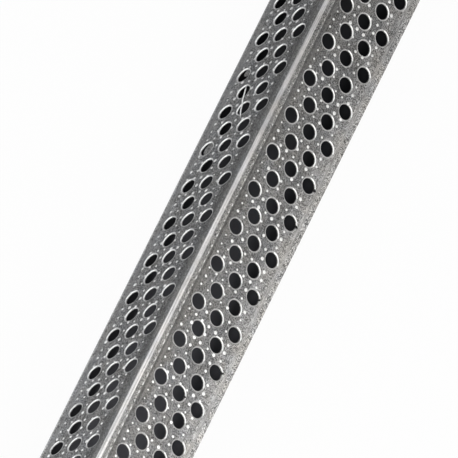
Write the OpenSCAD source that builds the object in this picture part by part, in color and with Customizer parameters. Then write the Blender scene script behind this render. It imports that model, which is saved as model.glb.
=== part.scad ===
// Perforated steel corner bead for wallboard: one strip of thin galvanised sheet, punched, folded along
// its middle and stepped beside the fold, so that a slim rounded nose stands proud of two flat flanges.
// It lies as a ridge: nose up, both flange edges on the floor, length along Y, middle of the base at 0.

/* [Stock] */
// Length that the bead is cut to
bead_len = 2000; // [300:10:3000]
// Thickness of the galvanised sheet
sheet_t = 0.5; // [0.3:0.05:0.7]
// Angle between the two flanges
corner_angle = 90; // [80:1:100]
// Width of each flange, from the corner where the two flange faces would meet to its edge
flange_w = 31; // [28:0.5:45]

/* [Nose] */
// Height of the nose's shoulders above the flange faces
nose_proud = 0.7; // [0.4:0.05:0.9]
// Outside radius of the rounded nose
nose_r = 1.2; // [0.9:0.1:1.8]
// Distance from the corner to where each shoulder starts to step down
shoulder_w = 2.3; // [2:0.1:3]
// Inside radius of the two bends of each step
bend_r = 0.3; // [0.25:0.05:0.5]

/* [Holes] */
// Diameter of the punched holes
hole_d = 5.5; // [3:0.1:6]
// Spacing of the holes along a line
hole_pitch = 15; // [10:0.5:30]
// Lines of holes on each flange, every second one moved by half a spacing
hole_lines = 5; // [1:1:5]
// Distance from the corner to the first line of holes
first_line = 7.2; // [6.5:0.1:9]
// Distance from one line of holes to the next
line_step = 4.35; // [4:0.05:5]

/* [Hidden] */
half_angle = corner_angle / 2;
corner_z = flange_w * cos(half_angle) + sheet_t * sin(half_angle);
// Each step is two equal bends of opposite hand, which meet where the sheet is steepest
step_run = 2 * bend_r + sheet_t;
step_turn = acos(1 - nose_proud / step_run);
flange_start = shoulder_w + step_run * sin(step_turn);
// The nose's arc is tangent to both shoulders
shoulder_start = (nose_r - nose_proud) / tan(half_angle);
hole_rows = floor(bead_len / hole_pitch);
first_row = (bead_len - (hole_rows - 0.5) * hole_pitch) / 2;
// The punch passes through the sheet and as far again on either side
punch_depth = 3 * sheet_t;
nose_facets = 12;
bend_facets = 8;
hole_facets = 48;

function reversed(points) = [for (i = [len(points) - 1 : -1 : 0]) points[i]];

function mirrored(points) = [for (p = points) [-p.x, p.y]];

// Points along an arc, after the one that it starts from
function arc(centre, r, from, to, facets) = [
  for (i = [1 : facets])
    let (turn = from + (to - from) * i / facets)
    centre + r * [cos(turn), sin(turn)]
];

// One face of the sheet at a depth below the outer face, from beside the nose's middle to the flange
// edge, with x down the flange face from the corner and y out of that face
function half_face(depth) = concat(
  arc([shoulder_start, nose_proud - nose_r], nose_r - depth, 180 - half_angle, 90, nose_facets),
  [[shoulder_w, nose_proud - depth]],
  arc(
    [shoulder_w, nose_proud - sheet_t - bend_r],
    bend_r + sheet_t - depth,
    90,
    90 - step_turn,
    bend_facets
  ),
  arc([flange_start, bend_r], bend_r + depth, 270 - step_turn, 270, bend_facets),
  [[flange_w, -depth]]
);

// The same face turned to its slope, with the corner at the origin
function sloped_face(depth) = [
  for (p = half_face(depth))
    [
      p.x * sin(half_angle) + p.y * cos(half_angle),
      p.y * sin(half_angle) - p.x * cos(half_angle)
    ]
];

// The middle of the nose at a depth below the outer face
function nose_middle(depth) = [0, (nose_proud - nose_r) / sin(half_angle) + nose_r - depth];

module section() {
  outer = sloped_face(0);
  inner = sloped_face(sheet_t);
  polygon(concat(
    [nose_middle(0)],
    outer,
    reversed(inner),
    [nose_middle(sheet_t)],
    mirrored(inner),
    reversed(mirrored(outer))
  ));
}

// Punches for one flange, standing on its face
module flange_punches() {
  rotate([0, 90 - half_angle, 0])
    translate([0, -bead_len / 2, -2 * sheet_t])
      linear_extrude(punch_depth)
        for (line = [0 : hole_lines - 1])
          for (row = [0 : hole_rows - 1])
            translate([
              first_line + line * line_step,
              first_row + (row + (line % 2) / 2) * hole_pitch
            ])
              circle(d = hole_d, $fn = hole_facets);
}

module corner_bead() {
  color("silver")
    translate([0, 0, corner_z])
      difference() {
        rotate([90, 0, 0])
          linear_extrude(bead_len, center = true) section();
        flange_punches();
        mirror([1, 0, 0]) flange_punches();
      }
}

corner_bead();
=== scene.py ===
import bpy
import numpy as np
from mathutils import Matrix, Vector


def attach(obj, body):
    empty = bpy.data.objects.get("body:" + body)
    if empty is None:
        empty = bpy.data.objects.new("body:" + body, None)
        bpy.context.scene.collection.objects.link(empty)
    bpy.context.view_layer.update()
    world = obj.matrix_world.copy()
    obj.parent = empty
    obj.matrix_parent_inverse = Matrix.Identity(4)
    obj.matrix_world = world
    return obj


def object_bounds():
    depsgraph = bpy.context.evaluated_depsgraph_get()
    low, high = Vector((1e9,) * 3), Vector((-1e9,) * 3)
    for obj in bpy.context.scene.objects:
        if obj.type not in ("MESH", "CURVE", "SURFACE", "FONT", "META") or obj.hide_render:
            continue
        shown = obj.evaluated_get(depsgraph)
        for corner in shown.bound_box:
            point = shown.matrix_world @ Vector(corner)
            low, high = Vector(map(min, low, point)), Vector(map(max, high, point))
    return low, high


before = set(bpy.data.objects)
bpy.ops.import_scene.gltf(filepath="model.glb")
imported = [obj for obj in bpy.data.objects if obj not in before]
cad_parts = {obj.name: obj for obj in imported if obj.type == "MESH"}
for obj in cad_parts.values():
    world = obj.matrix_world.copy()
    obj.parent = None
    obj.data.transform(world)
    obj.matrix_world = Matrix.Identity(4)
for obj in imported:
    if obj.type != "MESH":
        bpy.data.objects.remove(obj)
cadLow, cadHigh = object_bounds()
print("frame: bead box", [round(v, 4) for v in (*cadLow, *cadHigh)])

# The strip as it was punched and folded, in metres
strip = {
    "sheet": 0.0005,  # thickness of the sheet
    "flange": 0.031,  # corner to flange edge, down the outer face
    "noseProud": 0.0007,  # shoulders above the flange faces
    "holeRadius": 0.00275,
    "holePitch": 0.015,
    "holeLines": 5,
    "firstLine": 0.0072,  # corner to the first line of holes
    "lineStep": 0.00435,
}
slope = np.sqrt(0.5)  # both flanges fall at 45 degrees
cornerZ = (strip["flange"] + strip["sheet"]) * slope
beadLength = cadHigh.y - cadLow.y
holeRows = int(beadLength / strip["holePitch"] + 0.001)  # a whole quotient may fall just short
firstRow = (beadLength - (holeRows - 0.5) * strip["holePitch"]) / 2


# A place on a flange: down its outer face from the corner, along the bead, and out from the face.
# Down and out are both turned by 45 degrees, and side is 1 for the right flange and -1 for the left.
def onFlange(side, down, along, out):
    x = side * (down + out) * slope
    z = cornerZ + (out - down) * slope
    return np.stack(np.broadcast_arrays(x, along, z), axis=-1)


# Where each line of holes starts: distance down the flange, and place along the bead of its first hole.
def holeStarts():
    line = np.arange(strip["holeLines"])
    down = strip["firstLine"] + line * strip["lineStep"]
    along = cadLow.y + firstRow + (line % 2) * strip["holePitch"] / 2
    return down, along


# Centres of holes: the starts of their lines, carried along the bead by one pitch for each row.
def holeMiddles(line, row):
    down, along = holeStarts()
    line = line.astype(int)
    return down[line], along[line] + row * strip["holePitch"]


# Distance from each place on a flange to the edge of the nearest hole: the nearest row is found from
# the remainder along each line, and the least of the lines is taken.
def gapToHole(down, along):
    lineDown, lineAlong = holeStarts()
    pitch = strip["holePitch"]
    offset = along[..., None] - lineAlong
    offset = offset - np.round(offset / pitch) * pitch
    return np.hypot(down[..., None] - lineDown, offset).min(axis=-1) - strip["holeRadius"]


# Places at equal steps along the bead, from one step inside an end, one for each patch.
def equalSteps(pitch):
    return np.arange(cadLow.y + pitch, cadHigh.y - pitch, pitch)[:, None, None]


# A shallow round cap: a square grid pressed round into a disc, with its height falling as one less the
# radius squared.
def roundCap(steps):
    u, v = np.meshgrid(np.linspace(-1, 1, steps), np.linspace(-1, 1, steps))
    x, y = u * np.sqrt(1 - v * v / 2), v * np.sqrt(1 - u * u / 2)
    return x, y, 1 - x * x - y * y


# Angles at equal steps round a circle.
def roundAngles(segments):
    return np.arange(segments) * 2 * np.pi / segments


# Many like patches in one mesh: points are patch, row, column, xyz. Neighbouring points make a quad,
# wrapColumns joins the last column to the first, and pick gives each quad its place in materials.
def patchesMesh(name, points, materials, pick=0, flip=False, wrapColumns=False):
    count, rows, columns = points.shape[:3]
    row = np.arange(rows - 1)[:, None]
    column = np.arange(columns if wrapColumns else columns - 1)[None, :]
    nextRow, nextColumn = row + 1, (column + 1) % columns
    corners = [(row, column), (row, nextColumn), (nextRow, nextColumn), (nextRow, column)]
    quad = np.stack([(r * columns + c).ravel() for r, c in corners], axis=-1)
    if flip:
        quad = quad[:, ::-1]
    faces = (np.arange(count)[:, None, None] * rows * columns + quad).reshape(-1, 4)
    mesh = bpy.data.meshes.new(name)
    mesh.vertices.add(count * rows * columns)
    mesh.vertices.foreach_set("co", np.ascontiguousarray(points, np.float32).ravel())
    mesh.loops.add(faces.size)
    mesh.loops.foreach_set("vertex_index", np.ascontiguousarray(faces, np.int32).ravel())
    mesh.polygons.add(len(faces))
    mesh.polygons.foreach_set("loop_start", np.arange(0, faces.size, 4, dtype=np.int32))
    mesh.update(calc_edges=True)
    mesh.polygons.foreach_set("use_smooth", np.ones(len(faces), bool))
    for material in materials:
        mesh.materials.append(material)
    pick = np.broadcast_to(pick, (count, rows - 1, column.size))
    mesh.polygons.foreach_set("material_index", np.ascontiguousarray(pick, np.int32).ravel())
    mesh.validate()
    piece = bpy.data.objects.new(name, mesh)
    bpy.context.scene.collection.objects.link(piece)
    return piece


# A piece that belongs to the bead rides on its one body.
def addToBead(piece):
    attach(piece, "root")
    print("piece:", piece.name, 2 * len(piece.data.polygons), "triangles")


# A node's sockets, each set to a value or linked to another node's socket.
def setInputs(tree, node, inputs):
    for key, value in inputs.items():
        if isinstance(value, bpy.types.NodeSocket):
            tree.links.new(value, node.inputs[key])
        else:
            node.inputs[key].default_value = value


def addNode(tree, kind, inputs=None, **settings):
    node = tree.nodes.new("ShaderNode" + kind)
    for name, value in settings.items():
        setattr(node, name, value)
    setInputs(tree, node, inputs or {})
    return node


def addMath(tree, operation, first, second):
    return addNode(tree, "Math", {0: first, 1: second}, operation=operation).outputs[0]


# A value carried from one span to another and held at its ends. Either span may run downwards.
def addRange(tree, value, span, result=(0.0, 1.0), shape="LINEAR"):
    names = ("Value", "From Min", "From Max", "To Min", "To Max")
    inputs = dict(zip(names, (value, *span, *result)))
    return addNode(tree, "MapRange", inputs, interpolation_type=shape).outputs[0]


mixSockets = {"first": 6, "second": 7, "result": 2}  # where a Mix node has its colours


def addMix(tree, first, second, factor=1.0, blend="MULTIPLY"):
    inputs = {"Factor": factor, mixSockets["first"]: first, mixSockets["second"]: second}
    node = addNode(tree, "Mix", inputs, data_type="RGBA", blend_type=blend)
    return node.outputs[mixSockets["result"]]


# Coordinates on the object, as X, Y and Z.
def addPlace(tree):
    place = addNode(tree, "TexCoord").outputs["Object"]
    return addNode(tree, "SeparateXYZ", {"Vector": place}).outputs


def newMaterial(name):
    material = bpy.data.materials.new(name)
    material.use_nodes = True
    return material


# Patterns of the zinc
zinc = {
    "crystal": {"Scale": 900.0},
    "grain": {"Detail": 3.0, "Roughness": 0.6},  # each finish gives its scale
    "cloud": {"Scale": 90.0, "Detail": 3.0},
    "line": {"Scale": 3200.0, "Detail": 2.0},
    "lineSqueeze": 0.012,  # of the place along the bead, which draws the pattern out into lines
    "linesWhereSmooth": 1.3,  # how much deeper the lines are where the sheet is smoothed
    "darkest": 0.2,  # least shade
    "crystalHeight": 0.3,  # of the crystals beside the grain
    "drift": {"Scale": 170.0, "Detail": 2.0},
    "driftSwing": 1.8,
}


# Zinc skin: crystals, fine grain, broad clouds and roller lines along the bead, each less its middle and
# times its depth, all added to a shade of one. Calm quiets the crystals, the grain and the height where
# tools have smoothed the sheet, and deepens the lines. Below zero it coarsens the sheet. Warmth is the
# slow drift of the tint from cool, at 0, to warm, at 1.
def makeZincGroup():
    group = bpy.data.node_groups.new("zincSkin", "ShaderNodeTree")
    for name in ("Grain Scale", "Crystal Depth", "Grain Depth", "Cloud Depth", "Line Depth", "Calm"):
        group.interface.new_socket(name, in_out="INPUT", socket_type="NodeSocketFloat")
    for name in ("Shade", "Height", "Warmth"):
        group.interface.new_socket(name, in_out="OUTPUT", socket_type="NodeSocketFloat")
    given = group.nodes.new("NodeGroupInput").outputs
    place = addNode(group, "TexCoord").outputs["Object"]
    squeeze = (1.0, zinc["lineSqueeze"], 1.0)
    squeezed = addNode(group, "Mapping", {"Vector": place, "Scale": squeeze}).outputs[0]

    def addNoise(where, pattern):
        return addNode(group, "TexNoise", {"Vector": where, **pattern}).outputs["Fac"]

    crystal = addNode(group, "TexVoronoi", {"Vector": place, **zinc["crystal"]}).outputs["Color"]
    crystal = addNode(group, "SeparateColor", {"Color": crystal}).outputs[0]
    grain = addNoise(place, {"Scale": given["Grain Scale"], **zinc["grain"]})
    cloud = addNoise(place, zinc["cloud"])
    line = addNoise(squeezed, zinc["line"])
    drift = addNoise(place, zinc["drift"])

    lively = addMath(group, "SUBTRACT", 1.0, given["Calm"])
    smoothed = addMath(group, "MAXIMUM", given["Calm"], 0.0)
    deeper = addMath(group, "MULTIPLY", smoothed, zinc["linesWhereSmooth"])
    drawn = addMath(group, "ADD", 1.0, deeper)
    shade = 1.0
    for pattern, depth, share in (
        (crystal, "Crystal Depth", lively),
        (grain, "Grain Depth", lively),
        (cloud, "Cloud Depth", 1.0),
        (line, "Line Depth", drawn),
    ):
        centred = addMath(group, "SUBTRACT", pattern, 0.5)
        deep = addMath(group, "MULTIPLY", given[depth], share)
        shade = addMath(group, "ADD", shade, addMath(group, "MULTIPLY", centred, deep))
    raised = addMath(group, "MULTIPLY", crystal, zinc["crystalHeight"])
    height = addMath(group, "ADD", grain, raised)
    swing = addMath(group, "MULTIPLY", addMath(group, "SUBTRACT", drift, 0.5), zinc["driftSwing"])
    results = {
        "Shade": addMath(group, "MAXIMUM", shade, zinc["darkest"]),
        "Height": addMath(group, "MULTIPLY", height, lively),
        "Warmth": addMath(group, "ADD", swing, 0.5),
    }
    setInputs(group, group.nodes.new("NodeGroupOutput"), results)
    return group


zincGroup = makeZincGroup()

# What the small marks share: rims, dimples, dashes and tears
smallMarks = {
    "metallic": 0.3,
    "specular": 0.25,
    "roughness": (0.34, 0.48),
    "bump": 0.00001,
    "skin": {"Grain Scale": 1500.0, "Crystal Depth": 0.1, "Grain Depth": 0.5, "Cloud Depth": 0.3},
}

# Finish of the sheet, and of the small marks on it, whose colours are mostly painted highlights and shade
finishes = {
    "sheetSkin": {
        "colour": (0.161, 0.161, 0.161),
        "metallic": 0.25,
        "specular": 0.15,
        "roughness": (0.36, 0.56),  # where the skin is light, and where it is dark
        "bump": 0.00006,
        "skin": {
            "Grain Scale": 2500.0,
            "Crystal Depth": 0.3,
            "Grain Depth": 5.6,
            "Cloud Depth": 0.6,
            "Line Depth": 0.8,
        },
        "calm": {"nose": 0.6, "leftFlange": -0.3, "rightMargin": -0.35},  # by band
    },
    "dimpleSkin": {
        **smallMarks,
        # painted highlight: the dimples' light colour stands for their glints
        "colour": (0.76, 0.76, 0.754),
        "paintedLeftGain": 0.76,  # painted shade: gain of the colour on the left flange
        "metallic": 0.4,
        "specular": 0.5,
        "roughness": (0.30, 0.42),
        "skin": {**smallMarks["skin"], "Crystal Depth": 0.2},
    },
    # painted highlight: the bright arc on each rim, set by its place round the hole, and the sliver's
    # light colour
    "rimHighlightSkin": {
        **smallMarks,
        "colour": (0.8, 0.8, 0.794),
        "paintedLeftGain": 1.06,
        "roughness": (0.30, 0.44),
    },
    # painted shade: a dark patch standing for the shadowed gap of a torn rim
    "tearShadeSkin": {
        **smallMarks,
        "colour": (0.014, 0.014, 0.015),
        "metallic": 0.0,
        "specular": 0.1,
        "roughness": (0.6, 0.8),
    },
    # painted highlight: the dashes' light colour stands for the glints along the shoulder's edge
    "dashSkin": {
        **smallMarks,
        "colour": (0.62, 0.62, 0.615),
        "skin": {
            "Grain Scale": 1500.0,
            "Crystal Depth": 0.2,
            "Grain Depth": 0.8,
            "Cloud Depth": 0.5,
            "Line Depth": 0.3,
        },
    },
    # painted highlight, dimmer: the ends of the arc and the rest of the roll
    "rimEndSkin": {
        **smallMarks,
        "colour": (0.43, 0.43, 0.43),
        "paintedLeftGain": 1.3,
    },
    "rimRestSkin": {
        **smallMarks,
        "colour": (0.305, 0.305, 0.302),
        "paintedLeftGain": 0.88,
        "skin": {"Grain Scale": 1500.0, "Crystal Depth": 0.3, "Grain Depth": 1.5, "Cloud Depth": 1.5},
    },
}
shadeSpan = (0.6, 1.4)  # shades of the skin over which the gloss changes
noseSpan = (0.001, -0.001)  # places across the bead between its right and its left

# Bands of the sheet that differ from its flat field, by place across the bead: from, to, fade and gain.
# Their gains are painted light and shade.
bands = {
    "nose": (-0.00055, 0.00078, 0.0006, 3.85),  # painted highlight on the crown
    # painted light on the right shoulder and brighter on its edge, painted shade on the left shoulder
    "rightShoulder": (0.0013, 0.0030, 0.0002, 1.25),
    "rightShoulderEdge": (0.0024, 0.0031, 0.0002, 1.3),
    "leftShoulder": (-0.0030, -0.0013, 0.0002, 0.9),
    "rightCrease": (0.0032, 0.0036, 0.0003, 0.75),  # painted shade at the foot of each step
    "leftCrease": (-0.0036, -0.0032, 0.0003, 0.65),
    # painted shade on the strips beside each step, deeper on the left beside the nose
    "besideRightCrease": (0.0034, 0.0055, 0.0015, 0.85),
    "besideLeftCrease": (-0.0060, -0.0034, 0.0015, 0.62),
    "rightOuter": (0.0236, 0.0400, 0.0018, 1.5),  # painted light, lighter towards the outer edges
    "rightMargin": (0.0285, 0.0400, 0.0025, 1.36),
    "leftOuter": (-0.0400, -0.0250, 0.0015, 1.38),
    "leftFlange": (-0.0400, -0.0034, 0.0003, 0.8),  # painted shade: the left flange a little darker than the right one
}

# Painted light along the bead: the sheet and its dimples darker and lighter in a slow wave
paintedLightWave = {
    "length": 0.8,
    "swing": 0.36,
    "middle": -0.03,  # place along the bead that is neither darker nor lighter
}

# Tint of the sheet: its two ends, and bands as above with the warmth that each adds. The bands paint the
# tint of the light: warm right of the nose and on the right margin, cool on the left flange, warm on the
# nose's highlight.
tint = {
    "cool": (0.97, 0.99, 1.03, 1.0),
    "warm": (1.03, 1.0, 0.955, 1.0),
    "bands": {
        "nose": (-0.0010, 0.0010, 0.0004, 0.08),
        "rightOfNose": (0.0015, 0.0060, 0.0008, 0.3),
        "rightMargin": (0.0255, 0.0400, 0.0020, 0.18),
        "leftFlange": (-0.0400, -0.0025, 0.0010, -0.08),
    },
}


# An amount within a band across the bead: it fades in before the band and out after it, and is zero
# elsewhere.
def inBand(tree, across, band, amount):
    low, high, fade = band[:3]
    fadeIn = addRange(tree, across, (low - fade, low), shape="SMOOTHSTEP")
    fadeOut = addRange(tree, across, (high + fade, high), shape="SMOOTHSTEP")
    share = addMath(tree, "MULTIPLY", fadeIn, fadeOut)
    return addMath(tree, "MULTIPLY", share, amount)


# Gain of painted light along the bead: one less the swing of the wave times a sine.
def waveGain(tree, along):
    fromMiddle = addMath(tree, "SUBTRACT", along, paintedLightWave["middle"])
    turn = addMath(tree, "MULTIPLY", fromMiddle, 2 * np.pi / paintedLightWave["length"])
    paintedDip = addMath(tree, "MULTIPLY", addMath(tree, "SINE", turn, 0.0), paintedLightWave["swing"])
    return addMath(tree, "SUBTRACT", 1.0, paintedDip)


# Gain of painted light and shade over the section: each band's own gain where it is and one elsewhere, all
# multiplied.
def bandGain(tree, across):
    total = 1.0
    for band in bands.values():
        more = inBand(tree, across, band, band[3] - 1.0)
        total = addMath(tree, "MULTIPLY", total, addMath(tree, "ADD", 1.0, more))
    return total


# Calm over the section: the sum of what the bands give.
def bandCalm(tree, across, calms):
    total = 0.0
    for name, calm in calms.items():
        total = addMath(tree, "ADD", total, inBand(tree, across, bands[name], calm))
    return total


# Tint over the section: the skin's own drift, plus the painted warmth of the light in each band.
def sheetTint(tree, across, warmth):
    for band in tint["bands"].values():
        warmth = addMath(tree, "ADD", warmth, inBand(tree, across, band, band[3]))
    return addMix(tree, tint["cool"], tint["warm"], warmth, "MIX")


# Steel with its zinc skin: the skin's shade darkens or lightens the colour and drives the gloss, and its
# height drives the bump. The left gain paints the marks on the left flange lighter or darker, as light
# falls there. Only the sheet has the bands of painted light and shade and the tint, and the wave of
# painted light is on its dimples too.
def makeSteel(name):
    finish = finishes[name]
    material = newMaterial(name)
    tree = material.node_tree
    skin = addNode(tree, "Group", finish["skin"], node_tree=zincGroup)
    place = addPlace(tree)
    across = addMath(tree, "DIVIDE", place["X"], slope)
    tone = skin.outputs["Shade"]
    if "paintedLeftGain" in finish:
        gain = addRange(tree, across, noseSpan, (1.0, finish["paintedLeftGain"]))
        tone = addMath(tree, "MULTIPLY", tone, gain)
    if name in ("sheetSkin", "dimpleSkin"):
        tone = addMath(tree, "MULTIPLY", tone, waveGain(tree, place["Y"]))
    if name == "sheetSkin":
        tone = addMath(tree, "MULTIPLY", tone, bandGain(tree, across))
        setInputs(tree, skin, {"Calm": bandCalm(tree, across, finish["calm"])})
    colour = addMix(tree, (*finish["colour"], 1.0), tone)
    if name == "sheetSkin":
        colour = addMix(tree, colour, sheetTint(tree, across, skin.outputs["Warmth"]))
    smooth, rough = finish["roughness"]
    relief = {"Strength": 1.0, "Distance": finish["bump"], "Height": skin.outputs["Height"]}
    looks = {
        "Base Color": colour,
        "Metallic": finish["metallic"],
        "Roughness": addRange(tree, skin.outputs["Shade"], shadeSpan, (rough, smooth)),
        "Specular IOR Level": finish["specular"],
        "Normal": addNode(tree, "Bump", relief).outputs[0],
    }
    setInputs(tree, tree.nodes["Principled BSDF"], looks)
    return material


steels = {name: makeSteel(name) for name in finishes}
print("materials:", ", ".join(steels))

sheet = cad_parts["corner_bead"]
sheet.data.materials.clear()
sheet.data.materials.append(steels["sheetSkin"])

# Pressed dimples: a lattice of small bumps that was on the strip before the holes were punched
dimple = {
    "radius": 0.00054,
    "height": 0.00026,
    "sunk": 0.00002,  # edge below the flange face
    "pitchAlong": 0.00325,
    "right": (0.0054, 0.00313, 7),  # first column, step and count down the flange
    "left": (0.0072, 0.00325, 7),
    "stray": 0.0001,  # from the lattice
    "sizes": (0.66, 1.32),  # least and most, beside the radius
    "heights": (0.5, 1.2),
    "clear": 0.00028,  # least distance to a hole
    "firstColumn": 0.8,  # size of the column beside the fold
    "steps": 5,  # points each way
    "seed": 4,
}


# A dimple: a round cap. Its place, width and height vary a little from dimple to dimple, and those that
# the punch has cut are left out.
def makeDimples(name, side, columns):
    first, step, count = columns
    draw = np.random.default_rng(dimple["seed"] + side)
    pitch = dimple["pitchAlong"]
    along = np.arange(cadLow.y + pitch, cadHigh.y - dimple["radius"], pitch)
    down, along = np.meshgrid(first + np.arange(count) * step, along, indexing="ij")
    down, along = down.ravel(), along.ravel()
    down = down + draw.normal(0, dimple["stray"], down.size)
    along = along + draw.normal(0, dimple["stray"], along.size)
    whole = gapToHole(down, along) > dimple["clear"]
    down, along = down[whole, None, None], along[whole, None, None]
    size = dimple["radius"] * draw.uniform(*dimple["sizes"], down.shape)
    rise = dimple["height"] * draw.uniform(*dimple["heights"], down.shape)
    size = size * np.where(down < first + step / 2, dimple["firstColumn"], 1.0)
    x, y, cap = roundCap(dimple["steps"])
    points = onFlange(side, down + size * x, along + size * y, rise * cap - dimple["sunk"])
    addToBead(patchesMesh(name, points, [steels["dimpleSkin"]], flip=side < 0))


makeDimples("dimples_right", 1, dimple["right"])
makeDimples("dimples_left", -1, dimple["left"])

# Rolled rims: the punch drew the sheet down into each hole, which left a round edge; its bright arc is a
# painted highlight
rim = {
    # reach outside the hole's wall and height over the flange face, from the foot to the sheet's back
    "profile": (
        (0.00042, -0.00003),
        (0.00031, 0.00005),
        (0.00006, 0.00004),
        (0.0, 0.00002),
        (-0.00009, -0.00002),
        (-0.00015, -0.00009),
        (-0.00020, -0.00020),
        (-0.00025, -0.00045),
        (0.00010, -0.000485),
    ),
    "crestRow": 1,  # row of faces between the second and the third point
    "lastRolledRow": {1: 4, -1: 5},  # by side, and the roll starts after the crest
    "segments": 18,
    "unevenness": 0.4,  # how much the crest varies round a hole
    "highlightArc": {1: (46, 64), -1: (37, 69)},  # middle and half width of the arc of painted highlight, in degrees
    "turnSpread": 0.2,  # of the arc's middle, in radians
    "arcSpread": (0.75, 1.2),  # least and most of the arc's half width
    "brightShare": 0.7,  # of the arc, and its ends are dim
    "seed": 9,
}


# A rim: the profile turned round the hole. From a foot sunk in the face it rises to a low crest, rolls
# over into the hole and ends inside the sheet at the back. The crest and the roll take a painted highlight
# within an arc that varies from hole to hole. Beyond it the roll is painted dimmer, and so is the crest at
# the ends of the arc. The rest of the crest is only a little lighter than the sheet, and the foot and the
# back are like it.
def makeRims(name, side):
    line, row = np.meshgrid(np.arange(strip["holeLines"]), np.arange(holeRows), indexing="ij")
    down, along = holeMiddles(line.reshape(-1, 1, 1), row.reshape(-1, 1, 1))
    draw = np.random.default_rng(rim["seed"] + side)
    reach, out = np.array(rim["profile"]).T[:, :, None]
    angle = roundAngles(rim["segments"])
    radius = strip["holeRadius"] + reach
    lean = draw.uniform(0, 2 * np.pi, down.shape)
    uneven = rim["unevenness"] * draw.uniform(0, 1, down.shape) * np.cos(angle - lean)
    points = onFlange(
        side,
        down + radius * np.cos(angle),
        along + radius * np.sin(angle),
        out + np.maximum(out, 0) * uneven,
    )
    middle, half = np.radians(rim["highlightArc"][side])
    middle = middle + draw.normal(0, rim["turnSpread"], down.shape)
    half = half * draw.uniform(*rim["arcSpread"], down.shape)
    faceAngle = angle + np.pi / rim["segments"]
    away = np.abs((faceAngle - middle + np.pi) % (2 * np.pi) - np.pi)
    faceRow = np.arange(len(out) - 1)[:, None]
    crest = faceRow == rim["crestRow"]
    roll = (faceRow > rim["crestRow"]) & (faceRow <= rim["lastRolledRow"][side])
    bright = (crest | roll) & (away < rim["brightShare"] * half)
    dim = (crest & (away < half)) | roll
    skins = [steels[k] for k in ("rimHighlightSkin", "rimEndSkin", "rimRestSkin", "sheetSkin")]
    pick = np.where(bright, 0, np.where(dim, 1, np.where(crest, 2, 3)))
    addToBead(patchesMesh(name, points, skins, pick, flip=side > 0, wrapColumns=True))


makeRims("hole_rims_right", 1)
makeRims("hole_rims_left", -1)

# Dimples that the fold has drawn out into dashes along the right shoulder. Their light colour is a painted
# highlight.
dash = {
    "down": 0.00212,
    "halfWidth": 0.00026,
    "halfLength": 0.00085,
    "height": 0.00016,
    "lengths": (0.5, 1.2),  # least and most, beside the half length
    "heights": (0.4, 1.1),
    "stray": 0.0002,  # along the bead
    "pressure": (0.7, 0.4, 0.4),  # middle and swing of the roller's pressure, and its wave along the bead
    "steps": 5,  # points each way
    "seed": 12,
}


# A dash: the dimple's round cap, longer along the bead and lying on the raised shoulder. Its size follows
# the roller's pressure, which swings as a sine along the bead.
def makeDashes(name, side):
    draw = np.random.default_rng(dash["seed"])
    along = equalSteps(dimple["pitchAlong"])
    middle, swing, wave = dash["pressure"]
    pressure = middle - swing * np.sin(2 * np.pi * along / wave)
    length = pressure * dash["halfLength"] * draw.uniform(*dash["lengths"], along.shape)
    width = np.sqrt(pressure) * dash["halfWidth"]
    rise = pressure * dash["height"] * draw.uniform(*dash["heights"], along.shape)
    along = along + draw.normal(0, dash["stray"], along.shape)
    x, y, cap = roundCap(dash["steps"])
    out = strip["noseProud"] - dimple["sunk"] + rise * cap
    points = onFlange(side, dash["down"] + width * x, along + length * y, out)
    addToBead(patchesMesh(name, points, [steels["dashSkin"]], flip=side < 0))


makeDashes("shoulder_dashes", 1)

# Slitter marks: a row of tiny bumps along the left outer edge, in the dimples' finish with its painted
# highlight
edgeMark = {
    "fromEdge": 0.00042,
    "pitch": 0.00095,
    "halfWidth": 0.00026,
    "halfLength": 0.00034,
    "height": 0.00012,
    "heights": (0.3, 1.2),  # least and most, beside the height
    "steps": 4,  # points each way
    "seed": 21,
}


# A mark: a small round cap, set at equal steps along the edge with its height a little uneven.
def makeEdgeMarks(name, side):
    draw = np.random.default_rng(edgeMark["seed"] + side)
    along = equalSteps(edgeMark["pitch"])
    rise = edgeMark["height"] * draw.uniform(*edgeMark["heights"], along.shape)
    x, y, cap = roundCap(edgeMark["steps"])
    down = strip["flange"] - edgeMark["fromEdge"] + edgeMark["halfWidth"] * x
    points = onFlange(side, down, along + edgeMark["halfLength"] * y, rise * cap - dimple["sunk"])
    addToBead(patchesMesh(name, points, [steels["dimpleSkin"]], flip=side < 0))


makeEdgeMarks("edge_marks_left", -1)

# Torn rims of some holes on the right flange, drawn as flat dark patches of painted shade
tears = {
    # line, row, place round the hole in degrees, and size
    "holes": (
        (4, 68, 2, 1.15),
        (4, 67, 8, 1.1),
        (4, 65, 20, 0.85),
        (4, 63, 30, 0.95),
        (2, 62, 10, 0.8),
    ),
    "start": 0.00232,  # from the hole's middle
    "length": 0.00105,
    "halfWidth": 0.00055,
    "ragged": (0.25, 9),  # how much the width varies, and how quickly
    "out": 0.00008,
    "steps": (7, 5),  # points along and across
}


# A tear: a small flat tongue of painted shade across the rim, which narrows outwards as the square root of
# what is left of its length, with its width varied by a sine.
def makeTears(name, side):
    line, row, turn, size = np.array(tears["holes"]).T[:, :, None, None]
    middleDown, middleAlong = holeMiddles(line, row)
    turn = np.radians(turn)
    stepsAlong, stepsAcross = tears["steps"]
    u, v = np.meshgrid(np.linspace(0, 1, stepsAlong), np.linspace(-1, 1, stepsAcross), indexing="ij")
    reach = tears["start"] + size * tears["length"] * u
    swing, speed = tears["ragged"]
    width = size * tears["halfWidth"] * v * np.sqrt(1 - u) * (1 + swing * np.sin(speed * u + row))
    down = middleDown + reach * np.cos(turn) - width * np.sin(turn)
    along = middleAlong + reach * np.sin(turn) + width * np.cos(turn)
    points = onFlange(side, down, along, tears["out"])
    addToBead(patchesMesh(name, points, [steels["tearShadeSkin"]], flip=side > 0))


makeTears("torn_rims_right", 1)

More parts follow.
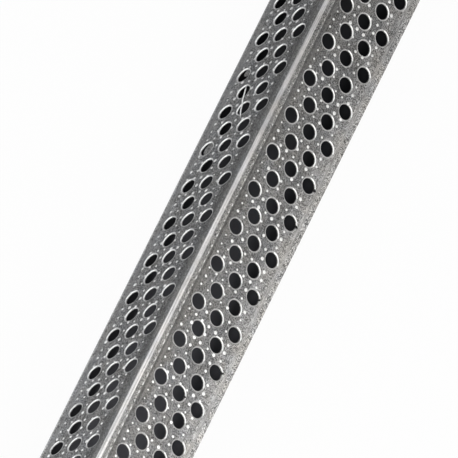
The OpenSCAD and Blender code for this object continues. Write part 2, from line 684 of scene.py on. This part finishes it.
# Slugs that the punch left hanging in two holes of the left flange
slugs = {
    # line, row, middle moved down and along, radius, and height over the flange face at the side towards
    # the nose and at the far side
    "holes": (
        (4, 68, -0.00085, 0.00010, 0.00245, -0.00004, -0.00050),
        (4, 70, -0.00120, 0.00135, 0.00190, -0.00006, -0.00045),
    ),
    "rings": 5,
    "segments": 28,
}


# A slug: a flat disc on rings about its middle, which tilts from one height to the other across it.
def makeSlugs(name, side):
    line, row, moveDown, moveAlong, radius, near, far = np.array(slugs["holes"]).T[:, :, None, None]
    middleDown, middleAlong = holeMiddles(line, row)
    ring = np.linspace(0, 1, slugs["rings"])[:, None]
    angle = roundAngles(slugs["segments"])
    across = ring * np.cos(angle)
    down = middleDown + moveDown + radius * across
    along = middleAlong + moveAlong + radius * ring * np.sin(angle)
    points = onFlange(side, down, along, near + (far - near) * (across + 1) / 2)
    addToBead(patchesMesh(name, points, [steels["sheetSkin"]], flip=side < 0, wrapColumns=True))


makeSlugs("hanging_slugs_left", -1)

# Sliver of zinc that lies across two holes of the left flange
sliver = {
    # down the flange and along the bead
    "course": (
        (0.0203, 0.0514),
        (0.0193, 0.0482),
        (0.0184, 0.0450),
        (0.0173, 0.0428),
        (0.0167, 0.0407),
        (0.0150, 0.0371),
    ),
    "halfWidth": 0.00026,
    "lift": 0.00008,
    "height": 0.00022,
    "taper": 1 / 8,  # share of its length over which each end grows thin
    "thinnest": 0.25,
    "steps": (40, 7),  # points along and round
}


# The sliver: a half round carried along its course, thinner towards both ends. It takes the rims' painted
# highlight.
def makeSliver(name, side):
    courseDown, courseAlong = np.array(sliver["course"]).T
    stepsAlong, stepsRound = sliver["steps"]
    knots = np.linspace(0, 1, len(courseDown))
    t = np.linspace(0, 1, stepsAlong)
    down, along = np.interp(t, knots, courseDown), np.interp(t, knots, courseAlong)
    runDown, runAlong = np.gradient(down), np.gradient(along)
    run = np.hypot(runDown, runAlong)
    thin = np.clip(np.minimum(t, 1 - t) / sliver["taper"], sliver["thinnest"], 1)[:, None]
    angle = np.linspace(0, np.pi, stepsRound)
    across = sliver["halfWidth"] * thin * np.cos(angle)
    down = down[:, None] - across * (runAlong / run)[:, None]
    along = along[:, None] + across * (runDown / run)[:, None]
    out = sliver["lift"] + sliver["height"] * thin * np.sin(angle)
    points = onFlange(side, down, along, out)[None]
    addToBead(patchesMesh(name, points, [steels["rimHighlightSkin"]], flip=side > 0))


makeSliver("zinc_sliver_left", -1)

# Camera as the photograph was taken, from far away with a long lens
photoView = {
    "azimuth": 22.015,
    "elevation": 57.956,
    "roll": 1.039,
    "aim": (-0.00330, 0.01128, -0.01175),
    "distance": 5.0,
    "lens": 1245.77,
    "sensor": 36.0,
    "farthest": 100.0,
}


# Placement at a spot, looking towards an aim with the top upwards.
def facing(spot, aim):
    spot, aim = Vector(spot), Vector(aim)
    turn = (aim - spot).to_track_quat("-Z", "Y").to_matrix().to_4x4()
    return Matrix.Translation(spot) @ turn


def addCamera():
    turn, tilt, roll = np.radians([photoView[k] for k in ("azimuth", "elevation", "roll")])
    back = Vector((np.sin(turn) * np.cos(tilt), -np.cos(turn) * np.cos(tilt), np.sin(tilt)))
    aim = Vector(photoView["aim"])
    camera = bpy.data.objects.new("camera", bpy.data.cameras.new("camera"))
    bpy.context.scene.collection.objects.link(camera)
    camera.matrix_world = facing(aim + back * photoView["distance"], aim) @ Matrix.Rotation(roll, 4, "Z")
    camera.data.lens = photoView["lens"]
    camera.data.sensor_width = photoView["sensor"]
    camera.data.clip_end = photoView["farthest"]
    bpy.context.scene.camera = camera


addCamera()

# Studio: white surroundings, a pale floor and a dark card under the bead, painted shade that stands for
# the shadow inside it
studio = {
    "ambient": 0.15,
    "floorHalf": 30.0,
    "floorHeight": -0.0002,
    "floorColour": (0.85, 0.85, 0.85, 1.0),
    "floorGlow": 0.95,  # share of the floor that is plain white to the camera
    "cardHalf": 0.0212,
    "cardHeight": 0.0001,
    "cardShort": 0.002,  # from each end of the bead
    "cardColour": (0.2175, 0.2204, 0.2436, 1.0),
    # painted shade and light on the card: axis, from where to where, and share of the colour at the end
    "cardFades": {
        "farEnd": ("Y", -0.14, 0.07, 0.2),
        "leftEdge": ("X", -0.0142, -0.0158, 0.38),
        "right": ("X", 0.0055, 0.0125, 0.4),
        "rightEdge": ("X", 0.0135, 0.0165, 1.8),
    },
    "steps": 3,  # points each way of the floor and the card
}


# One for rays that come from the camera, or from a shiny or a clear surface, and zero for the rest. To
# these rays the floor and the surroundings are white.
def seenDirectly(tree):
    path = addNode(tree, "LightPath").outputs
    seen = addMath(tree, "MAXIMUM", path["Is Camera Ray"], path["Is Glossy Ray"])
    return addMath(tree, "MAXIMUM", seen, path["Is Transmission Ray"])


# A level sheet of the stage: a grid about the middle of the frame.
def addStageSheet(name, halfX, halfY, height, material):
    steps = studio["steps"]
    x, y = np.meshgrid(np.linspace(-halfX, halfX, steps), np.linspace(-halfY, halfY, steps))
    points = np.stack([x, y, np.full_like(x, height)], axis=-1)[None]
    piece = patchesMesh(name, points, [material])


def addSurroundings():
    scene = bpy.context.scene
    scene.view_settings.view_transform = "Standard"
    scene.world = bpy.data.worlds.new("studioWorld")
    scene.world.use_nodes = True
    tree = scene.world.node_tree
    strength = addRange(tree, seenDirectly(tree), (0.0, 1.0), (studio["ambient"], 1.0))
    white = {"Color": (1.0, 1.0, 1.0, 1.0), "Strength": strength}
    setInputs(tree, tree.nodes["Background"], white)


def addFloor():
    material = newMaterial("paleFloor")
    tree = material.node_tree
    tree.nodes.remove(tree.nodes["Principled BSDF"])
    matt = addNode(tree, "BsdfDiffuse", {"Color": studio["floorColour"]}).outputs[0]
    white = addNode(tree, "Emission", {"Strength": 1.0}).outputs[0]
    share = addMath(tree, "MULTIPLY", seenDirectly(tree), studio["floorGlow"])
    both = addNode(tree, "MixShader", {0: share, 1: matt, 2: white}).outputs[0]
    setInputs(tree, tree.nodes["Material Output"], {"Surface": both})
    addStageSheet("floor", studio["floorHalf"], studio["floorHalf"], studio["floorHeight"], material)


def addCard():
    material = newMaterial("shadeCard")
    tree = material.node_tree
    place = addPlace(tree)
    depth = 1.0
    for axis, start, end, share in studio["cardFades"].values():
        fade = addRange(tree, place[axis], (start, end), (1.0, share))
        depth = addMath(tree, "MULTIPLY", depth, fade)
    colour = addMix(tree, studio["cardColour"], depth)
    looks = {"Base Color": colour, "Roughness": 1.0, "Specular IOR Level": 0.0}
    setInputs(tree, tree.nodes["Principled BSDF"], looks)
    halfLength = beadLength / 2 - studio["cardShort"]
    addStageSheet("shade_card", studio["cardHalf"], halfLength, studio["cardHeight"], material)


# Soft panels: light is the brightness of a panel's face, so its power grows with its area
panels = {
    "keyPanel": {
        "place": (1.2, -2.9, 2.5),
        "aim": (0, 0, 0),
        "size": (3.0, 2.7),
        "light": 2.9,
        "tint": (1.0, 0.99, 0.97),
    },
    "rightPanel": {
        "place": (0.9, -0.6, 0.5),
        "aim": (0, -0.6, 0.02),
        "size": (2.6, 0.6),
        "light": 2.6,
        "tint": (1.0, 0.99, 0.97),
    },
    "leftPanel": {
        "place": (-0.9, -0.6, 0.5),
        "aim": (0, -0.6, 0.02),
        "size": (2.6, 0.6),
        "light": 2.2,
        "tint": (0.96, 0.98, 1.0),
    },
}


def addPanels():
    for name, panel in panels.items():
        light = bpy.data.lights.new(name, "AREA")
        light.shape = "RECTANGLE"
        light.size, light.size_y = panel["size"]
        light.color = panel["tint"]
        light.energy = panel["light"] * np.pi * light.size * light.size_y
        lamp = bpy.data.objects.new(name, light)
        bpy.context.scene.collection.objects.link(lamp)
        lamp.matrix_world = facing(panel["place"], panel["aim"])
        lamp.visible_camera = False


addSurroundings()
addFloor()
addCard()
addPanels()
print("studio: floor, card and", len(panels), "panels")
